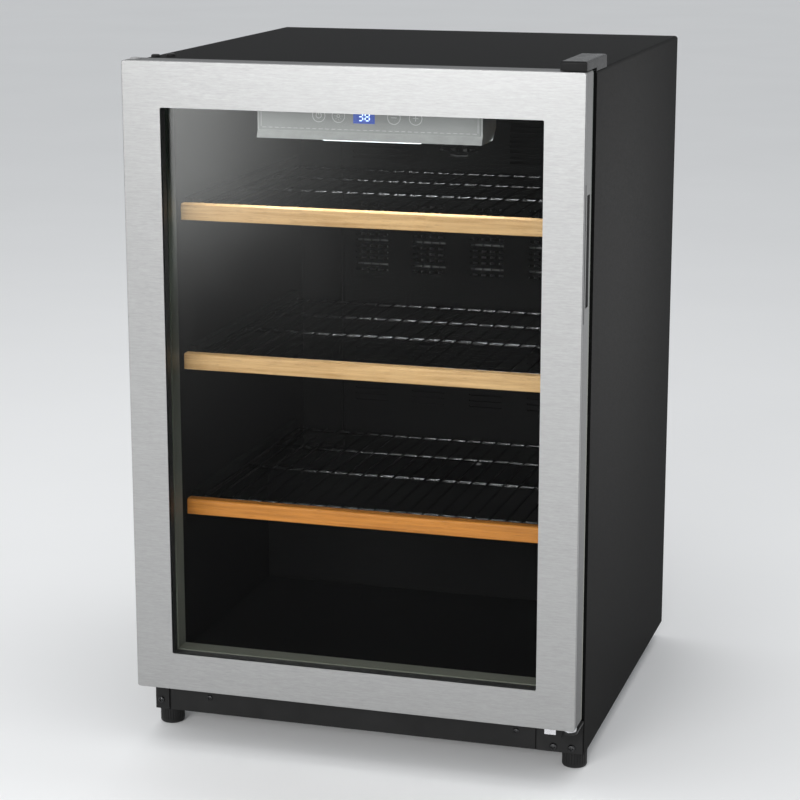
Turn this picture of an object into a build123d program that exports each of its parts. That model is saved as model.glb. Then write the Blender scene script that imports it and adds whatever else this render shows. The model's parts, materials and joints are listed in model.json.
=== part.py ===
from build123d import *
import os
from math import sqrt

# A free-standing beverage cooler: a foamed steel cabinet, one glass door on the right-hand hinges,
# three wire shelves with wooden fronts, and a compressor bay at the bottom of the back.
# Millimetres, +Z up, door towards -Y, origin on the floor under the middle of the cooler.
# The right-hand side is +X. An outline is (half width, bottom, top); a span is (low, high).

# ---- Driving dimensions ------------------------------------------------------------------------
WIDTH = 545.0
DEPTH = 566.0
FOOT_HEIGHT = 20.5
CABINET_TOP = 826.0
DOOR_BOTTOM = 69.5
DOOR_TOP = 829.0
DOOR_STANDOFF = 55.6  # door face to cabinet face
DOOR_THICK = 37.0
RIM_DEPTH = 43.0  # door face to the end of the window tunnel
FRAME_SIDE = 46.5  # steel border beside the window
FRAME_TOP = 53.0
FRAME_FOOT = 46.0
GLASS_THICK = 4.0
GLASS_UNIT = 18.5  # both panes and the spacer between them
GLASS_LAP = 10.0  # glass hidden behind the steel border
STEEL = 1.0  # cabinet sheet
LINER = 1.5  # liner sheet
ROOM_HALF = 233.0  # inside of the liner
ROOM_FLOOR = 101.0
ROOM_TOP = 784.0
HUMP_DEPTH = 150.0  # liner's rear step over the compressor bay
HUMP_TOP = 251.5
BAY_DEPTH = 165.0
BAY_TOP = 215.0
HINGE_X = 263.0
HINGE_IN = 20.0  # hinge axis behind the door face
PIN_R = 4.0
RUNNING_FIT = 0.05  # radial gap of a pin in its bush
SHELF_TOPS = (655.0, 473.2, 291.7)
SHELF_IN = 68.0  # wooden front behind the door face
FASCIA_HALF = 230.0
FASCIA_THICK = 15.0
FASCIA_HEIGHT = 19.5
FOOT_X = 257.5
FOOT_IN = 73.0  # front feet behind the door face
DOME = 0.7  # rounding of a screw head, as a share of its height
THROUGH = 1.0  # how far a cut runs past the face that it opens

# ---- Derived planes and outlines ---------------------------------------------------------------
HALF = WIDTH / 2
FRONT = -DEPTH / 2
BACK = DEPTH / 2
PANEL_BACK = BACK - 2.0  # back panel, set in so that its screw heads stay inside the depth
CABINET_FRONT = FRONT + DOOR_STANDOFF
DOOR_BACK = FRONT + DOOR_THICK
HINGE_Y = FRONT + HINGE_IN
DOOR = (HALF, DOOR_BOTTOM, DOOR_TOP)
WINDOW = (HALF - FRAME_SIDE, DOOR_BOTTOM + FRAME_FOOT, DOOR_TOP - FRAME_TOP)
ROOM = (ROOM_HALF, ROOM_FLOOR, ROOM_TOP)
ROOM_BACK = 233.0
HUMP_FRONT = ROOM_BACK - HUMP_DEPTH
BAY_FRONT = BACK - BAY_DEPTH
FLANGE_INNER = 243.0  # where the shell's front flange meets the liner's
FLANGE_TOP = 796.5
BASE_Z = 58.0  # underside of the floor pan
RAIL_TOP = 70.0
COVER_FRONT = 195.0  # face of the air duct cover in the back of the room
FAN_Z = 712.0
PANEL_IN = 80.0
PANEL_FACE = FRONT + PANEL_IN
PANEL_LIP = 736.0
PANEL_LOW = 745.0

os.makedirs("parts", exist_ok=True)


# ---- Helpers -----------------------------------------------------------------------------------
def front_plane(y):
    """The plane that faces the front at y: local x is +X and local y is +Z."""
    return Plane.XZ.offset(-y)


def grow(outline, by):
    """The outline pushed out on every side."""
    return (outline[0] + by, outline[1] - by, outline[2] + by)


def block(x, y, z, mode=Mode.ADD):
    """A box given by its span along each axis."""
    middle = [(low + high) / 2 for low, high in (x, y, z)]
    size = [high - low for low, high in (x, y, z)]
    with Locations(tuple(middle)):
        Box(*size, mode=mode)


def both_sides(x, y, z, mode=Mode.ADD):
    """The same box on the right and, mirrored, on the left."""
    block(x, y, z, mode)
    block((-x[1], -x[0]), y, z, mode)


def plate(outline, front, back, corner=0.0, mode=Mode.ADD):
    """A rectangular plate that faces the front, from y = front to y = back."""
    half, low, high = outline
    with BuildSketch(front_plane(front)) as shape:
        with Locations((0, (low + high) / 2)):
            if corner:
                RectangleRounded(2 * half, high - low, corner)
            else:
                Rectangle(2 * half, high - low)
    extrude(shape.sketch, amount=front - back, mode=mode)


def arch(outline, corner, front, back, mode=Mode.ADD):
    """A plate whose two upper corners alone are rounded."""
    half, low, high = outline
    with BuildSketch(front_plane(front)) as shape:
        with Locations((0, (low + high) / 2)):
            Rectangle(2 * half, high - low)
        fillet(shape.vertices().group_by(Axis.Y)[-1], corner)
    extrude(shape.sketch, amount=front - back, mode=mode)


def rod(start, direction, radius, length, mode=Mode.ADD):
    """A round bar from a point along a direction."""
    with Locations(Plane(origin=start, z_dir=direction)):
        Cylinder(radius, length, align=(Align.CENTER, Align.CENTER, Align.MIN), mode=mode)


def tube(points, radius, bend):
    """A round tube along straight runs joined by arcs."""
    with BuildLine() as path:
        FilletPolyline(*points, radius=bend)
    with BuildSketch(Plane(origin=path.line @ 0, z_dir=path.line % 0)) as section:
        Circle(radius)
    sweep(sections=section.sketch, path=path.line)


def domed_screw(centre, direction, head_r, head_h, shank_r, shank_l):
    """A screw with a domed head standing on a face and its shank behind it."""
    x, y, z = direction
    rod(centre, direction, head_r, head_h)
    rims = edges(Select.LAST).filter_by(GeomType.CIRCLE).group_by(Axis(centre, direction))
    fillet(rims[-1], head_h * DOME)
    rod(centre, (-x, -y, -z), shank_r, shank_l)


def save(piece, name):
    """Label a finished piece and write it to its own file."""
    piece.part.label = name
    export_step(piece.part, f"parts/{name}.step")


UP = (0, 0, 1)
DOWN = (0, 0, -1)
FORWARD = (0, -1, 0)
REARWARD = (0, 1, 0)

# ---- Cabinet steel -----------------------------------------------------------------------------
SHELL_CORNER = 4.0
TOP_SCREWS = ((264.0, FRONT + 84), (250.5, FRONT + 98))  # top hinge screws, mirrored on the left
SCREW_R = 2.0
PLUG_R = 4.0

with BuildPart() as outer_shell:
    arch((HALF, FOOT_HEIGHT, CABINET_TOP), SHELL_CORNER, CABINET_FRONT, BACK)
    arch(
        (HALF - STEEL, 0, CABINET_TOP - STEEL),
        SHELL_CORNER - STEEL,
        CABINET_FRONT + STEEL,
        BACK + STEEL,
        Mode.SUBTRACT,
    )
    plate((FLANGE_INNER, 0, FLANGE_TOP), FRONT, CABINET_FRONT + 2 * STEEL, mode=Mode.SUBTRACT)
    for screw_x, screw_y in TOP_SCREWS:
        rod((screw_x, screw_y, CABINET_TOP), DOWN, SCREW_R, 2, Mode.SUBTRACT)
        rod((-screw_x, screw_y, CABINET_TOP), DOWN, PLUG_R, 2, Mode.SUBTRACT)
save(outer_shell, "outer_shell")

PAN = 1.2  # floor pan sheet
BACK_SCREWS_Z = (240.0, 425.0, 610.0, 800.0)
BACK_SCREW_X = 262.0
with BuildPart() as back_panel:
    arch(
        (HALF - STEEL, BAY_TOP + PAN, CABINET_TOP - STEEL),
        SHELL_CORNER - STEEL,
        PANEL_BACK - STEEL,
        PANEL_BACK,
    )
    for screw_z in BACK_SCREWS_Z:
        for screw_x in (-BACK_SCREW_X, BACK_SCREW_X):
            rod((screw_x, PANEL_BACK + 1, screw_z), FORWARD, SCREW_R, STEEL + 2, Mode.SUBTRACT)
save(back_panel, "back_panel")

PAN_START = CABINET_FRONT + 21
DRAIN_X = 30.0
DRAIN_Y = 190.0
DRAIN_R = 6.0
DRAIN_HOLE = 50.0
DRAIN_END = 200.0  # lower end of the drain tube, over the drip tray
DRAIN_BORE_R = 4.6
DRAIN_SLACK = 0.2
INSIDE = (STEEL - HALF, HALF - STEEL)
with BuildPart() as base_pan:
    block(INSIDE, (PAN_START, BAY_FRONT), (BASE_Z, BASE_Z + PAN))
    block(INSIDE, (BAY_FRONT - PAN, BAY_FRONT), (BASE_Z, BAY_TOP + PAN))
    block(INSIDE, (BAY_FRONT - PAN, PANEL_BACK), (BAY_TOP, BAY_TOP + PAN))
    rod((DRAIN_X, DRAIN_Y, BAY_TOP - THROUGH), UP, DRAIN_R, PAN + 2 * THROUGH, Mode.SUBTRACT)
save(base_pan, "base_pan")

RAIL_X = (244.0, HALF - STEEL)
RAIL_THICK = 2.0
RAIL_LIP = 36.5  # top of the rails' upturned edge under the compressor bay
FOOT_Y = FRONT + FOOT_IN
STUD_R = 4.0
STUD_HOLE_R = 4.4
NUT_R = 7.5
NUT_HEIGHT = 6.5
with BuildPart() as base_rails:
    rail_z = (FOOT_HEIGHT, FOOT_HEIGHT + RAIL_THICK)
    rail_web = (RAIL_X[0], RAIL_X[0] + RAIL_THICK)
    both_sides(RAIL_X, (PAN_START, BACK - STEEL), rail_z)
    both_sides(rail_web, (PAN_START, BAY_FRONT - PAN), (rail_z[0], BASE_Z))
    both_sides(rail_web, (PAN_START, BACK - STEEL), (rail_z[0], RAIL_LIP))
    both_sides(RAIL_X, (CABINET_FRONT + STEEL, PAN_START), rail_z)
    with BuildSketch(Plane.XY.offset(rail_z[1])):
        with Locations((-FOOT_X, FOOT_Y), (FOOT_X, FOOT_Y)):
            RegularPolygon(NUT_R, 6)
    extrude(amount=NUT_HEIGHT)
    for side in (-1, 1):
        rod((side * FOOT_X, FOOT_Y, 0), UP, STUD_HOLE_R, BASE_Z, Mode.SUBTRACT)
save(base_rails, "base_rails")

RAIL_SHEET = 1.5
RAIL_DEEP = 20.0
with BuildPart() as front_rail:
    span = (-FLANGE_INNER, FLANGE_INNER)
    deep = (CABINET_FRONT, CABINET_FRONT + RAIL_DEEP)
    block(span, (CABINET_FRONT, CABINET_FRONT + RAIL_SHEET), (FOOT_HEIGHT, RAIL_TOP))
    block(span, deep, (RAIL_TOP - RAIL_SHEET, RAIL_TOP))
    block(span, deep, (FOOT_HEIGHT, FOOT_HEIGHT + RAIL_SHEET))
save(front_rail, "front_rail")

KICK_X = (-252.0, 214.0)
KICK_TOP = 64.0
KICK_SCREWS_X = (-200.0, 190.0)
KICK_SCREW_Z = 42.0
TRIM = 2.0
TRIM_LOW = FOOT_HEIGHT + 0.5
with BuildPart() as kick_plate:
    block(KICK_X, (CABINET_FRONT - TRIM, CABINET_FRONT), (TRIM_LOW, KICK_TOP))
    fillet(kick_plate.faces().sort_by(Axis.Y)[0].edges(), 1.0)
    for screw_x in KICK_SCREWS_X:
        rod((screw_x, CABINET_FRONT + 1, KICK_SCREW_Z), FORWARD, SCREW_R, 5, Mode.SUBTRACT)
save(kick_plate, "kick_plate")

HOLE_COVER_X = (-271.5, -254.0)
HOLE_COVER_TOP = 49.5
COVER_SCREW = (-264.4, CABINET_FRONT - TRIM, 33.0)
with BuildPart() as hinge_hole_cover:
    block(HOLE_COVER_X, (CABINET_FRONT - TRIM, CABINET_FRONT), (TRIM_LOW, HOLE_COVER_TOP))
    fillet(hinge_hole_cover.edges().filter_by(Axis.Y), 2.0)
    fillet(hinge_hole_cover.faces().sort_by(Axis.Y)[0].edges(), 0.8)
    rod(COVER_SCREW, REARWARD, SCREW_R, 5, Mode.SUBTRACT)
save(hinge_hole_cover, "hinge_hole_cover")

with BuildPart() as body_screws:
    domed_screw(COVER_SCREW, FORWARD, 4.4, 2.6, SCREW_R, TRIM)
    for screw_x in KICK_SCREWS_X:
        domed_screw((screw_x, CABINET_FRONT - TRIM, KICK_SCREW_Z), FORWARD, 4.0, 1.8, SCREW_R, TRIM)
    for screw_z in BACK_SCREWS_Z:
        for screw_x in (-BACK_SCREW_X, BACK_SCREW_X):
            domed_screw((screw_x, PANEL_BACK, screw_z), REARWARD, 4.0, 1.6, SCREW_R, STEEL)
save(body_screws, "body_screws")

# ---- Liner and foam ----------------------------------------------------------------------------
WIRE_R = 1.6
CROSS_R = 2.5
SIDE_R = 3.0
WIRE_DROP = 3.0  # wire tops below the top of the wooden front
WIRE_LAP = 0.5
LEDGE_IN = 10.0
LEDGE_HEIGHT = 8.0
LEDGE_Y = (FRONT + 90, 188.0)
SLIDE_GAP = 0.3


def side_rod_z(shelf_top):
    """Height of the axis of a shelf's side rods."""
    return shelf_top - WIRE_DROP - 2 * WIRE_R + WIRE_LAP - CROSS_R


def room_block(y_front, wall, mode):
    """The room with its rear step, grown by the wall thickness, as two overlapping boxes."""
    half, low, high = grow(ROOM, wall)
    step = (y_front, HUMP_FRONT + wall)
    whole = (y_front, ROOM_BACK + wall)
    block((-half, half), whole, (HUMP_TOP - wall, high), mode)
    block((-half, half), step, (low, HUMP_TOP), mode)


with BuildPart() as inner_liner:
    room_block(CABINET_FRONT, LINER, Mode.ADD)
    plate((FLANGE_INNER, RAIL_TOP, FLANGE_TOP), CABINET_FRONT, CABINET_FRONT + LINER)
    room_block(CABINET_FRONT - 1, 0, Mode.SUBTRACT)
    for shelf_top in SHELF_TOPS:
        ledge_top = side_rod_z(shelf_top) - SIDE_R - SLIDE_GAP
        guide_low = side_rod_z(shelf_top) + SIDE_R + 2
        wall_x = (ROOM_HALF - LEDGE_IN, ROOM_HALF)
        both_sides(wall_x, LEDGE_Y, (ledge_top - LEDGE_HEIGHT, ledge_top))
        both_sides(wall_x, LEDGE_Y, (guide_low, guide_low + LEDGE_HEIGHT))
    rod((DRAIN_X, DRAIN_Y, BAY_TOP), UP, DRAIN_R, DRAIN_HOLE, Mode.SUBTRACT)
save(inner_liner, "inner_liner")

COIL_GAP = 7.0
COIL_POCKET = (232.0, 280.0, 780.0)
with BuildPart() as foam_insulation:
    arch(
        (HALF - STEEL, BASE_Z + PAN, CABINET_TOP - STEEL),
        SHELL_CORNER - STEEL,
        CABINET_FRONT + LINER,
        PANEL_BACK - STEEL,
    )
    room_block(CABINET_FRONT, LINER, Mode.SUBTRACT)
    block(INSIDE, (BAY_FRONT - PAN, BACK), (0, BAY_TOP + PAN), Mode.SUBTRACT)
    block(INSIDE, (CABINET_FRONT, PAN_START), (0, RAIL_TOP), Mode.SUBTRACT)
    plate(COIL_POCKET, PANEL_BACK - STEEL - COIL_GAP, BACK, mode=Mode.SUBTRACT)
    rod((DRAIN_X, DRAIN_Y, BAY_TOP), UP, DRAIN_R, DRAIN_HOLE, Mode.SUBTRACT)
save(foam_insulation, "foam_insulation")

with BuildPart() as drain_tube:
    drain_length = HUMP_TOP - DRAIN_END
    rod((DRAIN_X, DRAIN_Y, DRAIN_END), UP, DRAIN_R - DRAIN_SLACK, drain_length)
    rod((DRAIN_X, DRAIN_Y, DRAIN_END), UP, DRAIN_BORE_R, drain_length, Mode.SUBTRACT)
save(drain_tube, "drain_tube")

# ---- Refrigeration -----------------------------------------------------------------------------
COIL_Y = PANEL_BACK - STEEL - COIL_GAP / 2
COIL_RUNS = 8
COIL_PITCH = 60.0
COIL_LOW = 310.0
COIL_REACH = 210.0
COIL_R = 2.5
COIL_BEND = 20.0
with BuildPart() as condenser_coil:
    turns = []
    for run in range(COIL_RUNS):
        run_z = COIL_LOW + run * COIL_PITCH
        reach = COIL_REACH if run % 2 == 0 else -COIL_REACH
        turns += [(-reach, COIL_Y, run_z), (reach, COIL_Y, run_z)]
    tube(turns, COIL_R, COIL_BEND)
save(condenser_coil, "condenser_coil")

PLATE_TOP = 26.0
PLATE_SHEET = 3.5
PLATE_Z = (PLATE_TOP - PLATE_SHEET, PLATE_TOP)
PLATE_Y = (128.0, BACK - 8)
PLATE_LIP = 2.0
PLATE_LIP_TOP = 35.5
COMPRESSOR_X = 70.0
COMPRESSOR_Y = 198.0
GROMMET_X = 80.0
GROMMET_Y = 52.0
GROMMET_H = 14.0
GROMMET_R = 9.0
with BuildPart() as compressor_plate:
    block((-RAIL_X[0], RAIL_X[0]), PLATE_Y, PLATE_Z)
    block((-RAIL_X[0], RAIL_X[0]), (PLATE_Y[0], PLATE_Y[0] + PLATE_LIP), (PLATE_TOP, PLATE_LIP_TOP))
    both_sides((RAIL_X[0] - PLATE_LIP, RAIL_X[0]), PLATE_Y, (PLATE_TOP, PLATE_LIP_TOP))
save(compressor_plate, "compressor_plate")

with BuildPart() as compressor_grommets:
    with Locations((COMPRESSOR_X, COMPRESSOR_Y, PLATE_TOP)):
        with GridLocations(2 * GROMMET_X, 2 * GROMMET_Y, 2, 2):
            Cylinder(GROMMET_R, GROMMET_H, align=(Align.CENTER, Align.CENTER, Align.MIN))
    chamfer(compressor_grommets.edges().filter_by(GeomType.CIRCLE), 1.2)
save(compressor_grommets, "compressor_grommets")

SHELL_LOW = PLATE_TOP + GROMMET_H
SHELL_HIGH = 180.0
CAN_HALF = (68.0, 56.0)  # half width and half depth of the pressed steel can
CAN_CORNER = 48.0
CAN_SHOULDER = 30.0
CAN_FOOT = 14.0
SEAM_Z = SHELL_LOW + 78
SEAM = (5.0, 2.5)  # height of the welded seam and how far it stands out
BASE_SHEET = 3.5
with BuildPart() as compressor:
    block((COMPRESSOR_X - CAN_HALF[0], COMPRESSOR_X + CAN_HALF[0]),
          (COMPRESSOR_Y - CAN_HALF[1], COMPRESSOR_Y + CAN_HALF[1]),
          (SHELL_LOW + BASE_SHEET - 0.5, SHELL_HIGH))
    fillet(compressor.edges().filter_by(Axis.Z), CAN_CORNER)
    fillet(compressor.faces().sort_by(Axis.Z)[-1].edges(), CAN_SHOULDER)
    fillet(compressor.faces().sort_by(Axis.Z)[0].edges(), CAN_FOOT)
    with BuildSketch(Plane.XY.offset(SEAM_Z)):
        with Locations((COMPRESSOR_X, COMPRESSOR_Y)):
            RectangleRounded(2 * (CAN_HALF[0] + SEAM[1]), 2 * (CAN_HALF[1] + SEAM[1]), CAN_CORNER + 2)
    extrude(amount=SEAM[0])
    with BuildSketch(Plane.XY.offset(SHELL_LOW)):
        with Locations((COMPRESSOR_X, COMPRESSOR_Y)):
            RectangleRounded(2 * (GROMMET_X + 13), 2 * (GROMMET_Y + 12), 12)
    extrude(amount=BASE_SHEET)
save(compressor, "compressor")

RELAY_X = (COMPRESSOR_X - 100, COMPRESSOR_X - CAN_HALF[0] - SEAM[1])
RELAY_Y = (COMPRESSOR_Y - 28, COMPRESSOR_Y + 28)
RELAY_Z = (70.0, 132.0)
with BuildPart() as relay_cover:
    block(RELAY_X, RELAY_Y, RELAY_Z)
    fillet(relay_cover.edges(), 3)
save(relay_cover, "relay_cover")

TRAY_X = (COMPRESSOR_X - 74, COMPRESSOR_X + 74)
TRAY_Y = (138.0, 258.0)
TRAY_Z = (184.0, 204.0)
TRAY_WALL = 2.0
with BuildPart() as drip_tray:
    block(TRAY_X, TRAY_Y, TRAY_Z)
    fillet(drip_tray.edges().filter_by(Axis.Z), 8)
    offset(amount=-TRAY_WALL, openings=drip_tray.faces().sort_by(Axis.Z)[-1], mode=Mode.REPLACE)
save(drip_tray, "drip_tray")

DRIER_X = -80.0
DRIER_Y = 236.0
DRIER_Z = (80.0, 180.0)
DRIER_NECK_R = 3.0
DRIER_R = 10.0
with BuildPart() as filter_drier:
    with BuildSketch(front_plane(DRIER_Y)):
        with BuildLine():
            Polyline(
                (DRIER_X, DRIER_Z[0]),
                (DRIER_X, DRIER_Z[1]),
                (DRIER_X + DRIER_NECK_R, DRIER_Z[1]),
                (DRIER_X + DRIER_NECK_R, DRIER_Z[1] - 12),
                (DRIER_X + DRIER_R, DRIER_Z[1] - 20),
                (DRIER_X + DRIER_R, DRIER_Z[0] + 20),
                (DRIER_X + DRIER_NECK_R, DRIER_Z[0] + 12),
                (DRIER_X + DRIER_NECK_R, DRIER_Z[0]),
                (DRIER_X, DRIER_Z[0]),
            )
        make_face()
    revolve(axis=Axis((DRIER_X, DRIER_Y, 0), UP))
save(filter_drier, "filter_drier")

CAN_SIDE = COMPRESSOR_X + CAN_HALF[0] + 1
DELIVERY_R = 3.0
SUCTION_R = 4.0
CAPILLARY_R = 1.2
DELIVERY_ROUTE = (
    (CAN_SIDE, COMPRESSOR_Y, 150),
    (200, COMPRESSOR_Y, 150),
    (200, 240, 150),
    (200, 240, 60),
    (140, 240, 60),
    (140, 268, 60),
    (DRIER_X, 268, 60),
    (DRIER_X, DRIER_Y, 60),
    (DRIER_X, DRIER_Y, DRIER_Z[0]),
)
SUCTION_ROUTE = ((CAN_SIDE, 175, 110), (225, 175, 110), (225, 175, BAY_TOP))
with BuildPart() as refrigerant_tubes:
    tube(DELIVERY_ROUTE, DELIVERY_R, 3 * DELIVERY_R)
    tube(SUCTION_ROUTE, SUCTION_R, 3 * SUCTION_R)
    rod((DRIER_X, DRIER_Y, DRIER_Z[1]), UP, CAPILLARY_R, BAY_TOP - DRIER_Z[1])
save(refrigerant_tubes, "refrigerant_tubes")

BOX_X = (-236.0, -142.0)
BOX_Y = (206.0, 266.0)
BOX_Z = (PLATE_TOP, 122.0)
INLET_X = (-212.0, -184.0)
INLET_Z = (51.5, 72.5)
INLET_DEEP = 18.0
INLET_WALL = 2.0
INLET_FLANGE = (44.0, 27.0, 2.5)  # width, height and thickness
INLET_MIDDLE = ((INLET_X[0] + INLET_X[1]) / 2, (INLET_Z[0] + INLET_Z[1]) / 2)
BLADES_X = (-7.0, 0.0, 7.0)
BLADE_HALF = 2.0
with BuildPart() as control_box:
    block(BOX_X, BOX_Y, BOX_Z)
    fillet(control_box.edges().filter_by(Axis.Z), 4)
    block(INLET_X, (BOX_Y[1] - INLET_DEEP, BOX_Y[1]), INLET_Z, Mode.SUBTRACT)
save(control_box, "control_box")

with BuildPart() as power_inlet:
    block(INLET_X, (BOX_Y[1] - INLET_DEEP, BOX_Y[1]), INLET_Z)
    with BuildSketch(front_plane(BOX_Y[1])):
        with Locations(INLET_MIDDLE):
            RectangleRounded(INLET_FLANGE[0], INLET_FLANGE[1], 4)
    extrude(amount=-INLET_FLANGE[2])
    block((INLET_X[0] + INLET_WALL, INLET_X[1] - INLET_WALL),
          (BOX_Y[1] - INLET_DEEP + INLET_WALL, BOX_Y[1] + INLET_FLANGE[2]),
          (INLET_Z[0] + INLET_WALL, INLET_Z[1] - INLET_WALL), Mode.SUBTRACT)
    for blade_x in BLADES_X:
        block((INLET_MIDDLE[0] + blade_x - 1, INLET_MIDDLE[0] + blade_x + 1),
              (BOX_Y[1] - INLET_DEEP, BOX_Y[1] - 1),
              (INLET_MIDDLE[1] - BLADE_HALF, INLET_MIDDLE[1] + BLADE_HALF))
save(power_inlet, "power_inlet")

# ---- Cold side behind the duct cover -----------------------------------------------------------
COVER_HALF = 165.0
COVER_LOW = 256.0
COVER_WALL = 2.0
GRILLE_R = 44.0
BAR_PITCH = 7.0
LOUVRE = 3.6
with BuildPart() as duct_cover:
    cover = (COVER_HALF, COVER_LOW, ROOM_TOP)
    plate(cover, COVER_FRONT, ROOM_BACK)
    fillet(duct_cover.edges().filter_by(Axis.Z).group_by(Axis.Y)[0], 8)
    plate((COVER_HALF - COVER_WALL, COVER_LOW + COVER_WALL, ROOM_TOP - COVER_WALL),
          COVER_FRONT + COVER_WALL, ROOM_BACK + 1, mode=Mode.SUBTRACT)
    with BuildSketch(front_plane(COVER_FRONT - 1)):
        for bar in range(-6, 7):
            bar_z = bar * BAR_PITCH
            half_chord = sqrt(GRILLE_R**2 - bar_z**2)
            if half_chord > 8:
                with Locations((0, FAN_Z + bar_z)):
                    RectangleRounded(2 * half_chord, LOUVRE, LOUVRE / 2.1)
    extrude(amount=-(COVER_WALL + 2), mode=Mode.SUBTRACT)
    with BuildSketch(front_plane(COVER_FRONT - 1)):
        with Locations((-108, FAN_Z), (108, FAN_Z)):
            with GridLocations(0, BAR_PITCH, 1, 15):
                RectangleRounded(76, LOUVRE, LOUVRE / 2.1)
        with Locations((0, 555), (0, 375)):
            with GridLocations(80, 8, 4, 12):
                RectangleRounded(46, 3, 1.4)
    extrude(amount=-(COVER_WALL + 2), mode=Mode.SUBTRACT)
save(duct_cover, "duct_cover")

FAN_Y = (205.0, 230.0)
FAN_HALF = 46.0
ROTOR_R = 41.0
FAN_BORE_R = 43.5
HUB_R = 17.0
MOTOR_R = 14.5
AXLE_R = 1.6
with BuildPart() as fan_frame:
    plate((FAN_HALF, FAN_Z - FAN_HALF, FAN_Z + FAN_HALF), FAN_Y[0], FAN_Y[1], corner=5)
    rod((0, FAN_Y[0] - 1, FAN_Z), REARWARD, FAN_BORE_R, 40, Mode.SUBTRACT)
    rod((0, FAN_Y[1] - 3, FAN_Z), REARWARD, MOTOR_R + 2, 3)
    block((-2.5, 2.5), (FAN_Y[1] - 3, FAN_Y[1]), (FAN_Z - FAN_BORE_R - 1, FAN_Z + FAN_BORE_R + 1))
    block((-FAN_BORE_R - 1, FAN_BORE_R + 1), (FAN_Y[1] - 3, FAN_Y[1]), (FAN_Z - 2.5, FAN_Z + 2.5))
save(fan_frame, "fan_frame")

with BuildPart() as fan_motor:
    rod((0, FAN_Y[1] - 14, FAN_Z), REARWARD, MOTOR_R - 2, 11)
    rod((0, FAN_Y[0] + 4, FAN_Z), REARWARD, AXLE_R, 8)
save(fan_motor, "fan_motor")

BLADES = 7
with BuildPart(Plane(origin=(0, FAN_Y[0] + 2, FAN_Z), z_dir=REARWARD)) as fan_rotor:
    Cylinder(HUB_R, 18, align=(Align.CENTER, Align.CENTER, Align.MIN))
    with Locations((0, 0, 9)):
        Cylinder(MOTOR_R - 1, 10, align=(Align.CENTER, Align.CENTER, Align.MIN), mode=Mode.SUBTRACT)
    with Locations((0, 0, 2)):
        Cylinder(AXLE_R + RUNNING_FIT, 10, align=(Align.CENTER, Align.CENTER, Align.MIN),
                 mode=Mode.SUBTRACT)
    with Locations((0, 0, 9)):
        with PolarLocations((HUB_R + ROTOR_R) / 2 - 1, BLADES):
            Box(ROTOR_R - HUB_R, 20, 1.6, rotation=(32, 0, 0))
save(fan_rotor, "fan_rotor")

FINS = 24
TUBE_ROWS = 5
with BuildPart() as evaporator:
    for row in range(TUBE_ROWS):
        rod((-146, 218, 480 + 34 * row), (1, 0, 0), 4, 292)
    with Locations((0, 218, 548)):
        with GridLocations(12, 0, FINS, 1):
            Box(0.8, 22, 164)
save(evaporator, "evaporator")


# ---- Control panel under the ceiling -----------------------------------------------------------
PANEL_HALF = 136.0
PANEL_WALL = 1.8
PANEL_DEEP = 62.0
OVERLAY = 1.5
with BuildPart() as panel_housing:
    with BuildSketch(Plane.YZ):
        with BuildLine():
            Polyline((PANEL_FACE - 4, PANEL_LIP), (PANEL_FACE, PANEL_LOW), (PANEL_FACE, ROOM_TOP),
                     (PANEL_FACE + PANEL_DEEP, ROOM_TOP), (PANEL_FACE + PANEL_DEEP, PANEL_LIP + 14),
                     (PANEL_FACE + PANEL_DEEP - 16, PANEL_LIP), (PANEL_FACE - 4, PANEL_LIP))
        make_face()
    extrude(amount=PANEL_HALF, both=True)
    block((-PANEL_HALF + PANEL_WALL, PANEL_HALF - PANEL_WALL),
          (PANEL_FACE + PANEL_WALL, PANEL_FACE + PANEL_DEEP - 14), (PANEL_LIP + 3, ROOM_TOP + 1),
          Mode.SUBTRACT)
save(panel_housing, "panel_housing")

with BuildPart() as panel_fascia:
    plate((PANEL_HALF - 2, PANEL_LOW + 0.4, ROOM_TOP - 1), PANEL_FACE - OVERLAY, PANEL_FACE, corner=1.5)
save(panel_fascia, "panel_fascia")

SKIN = 0.3
KEY_Z = 764.0
DISPLAY_X = (-18.0, 8.0)
with BuildPart() as panel_display:
    block(DISPLAY_X, (PANEL_FACE - OVERLAY - SKIN, PANEL_FACE - OVERLAY), (KEY_Z - 8, KEY_Z + 8))
save(panel_display, "panel_display")


with BuildPart() as led_lamp:
    block((-60, 60), (PANEL_FACE + 12, PANEL_FACE + 34), (PANEL_LIP - 3, PANEL_LIP))
    fillet(led_lamp.faces().sort_by(Axis.Z)[0].edges(), 1.5)
save(led_lamp, "led_lamp")

# ---- Hinges ------------------------------------------------------------------------------------
HINGE_PLATE = 3.0
TOP_ARM_Z = (830.5, 830.5 + HINGE_PLATE)
ARM_HALF = 7.2
with BuildPart() as top_hinge_bracket:
    block((246, 269), (CABINET_FRONT + 1, FRONT + 106), (CABINET_TOP, CABINET_TOP + HINGE_PLATE))
    block((246, 269), (CABINET_FRONT + 1, CABINET_FRONT + 4), (CABINET_TOP, TOP_ARM_Z[1]))
    block((HINGE_X - ARM_HALF, HINGE_X + ARM_HALF), (HINGE_Y, CABINET_FRONT + 4), TOP_ARM_Z)
    rod((HINGE_X, HINGE_Y, TOP_ARM_Z[0]), UP, ARM_HALF, HINGE_PLATE)
    rod((HINGE_X, HINGE_Y, TOP_ARM_Z[0] - 1), UP, PIN_R, 10, Mode.SUBTRACT)
    for screw_x, screw_y in TOP_SCREWS:
        rod((screw_x, screw_y, CABINET_TOP - 1), UP, SCREW_R, 10, Mode.SUBTRACT)
save(top_hinge_bracket, "top_hinge_bracket")

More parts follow.
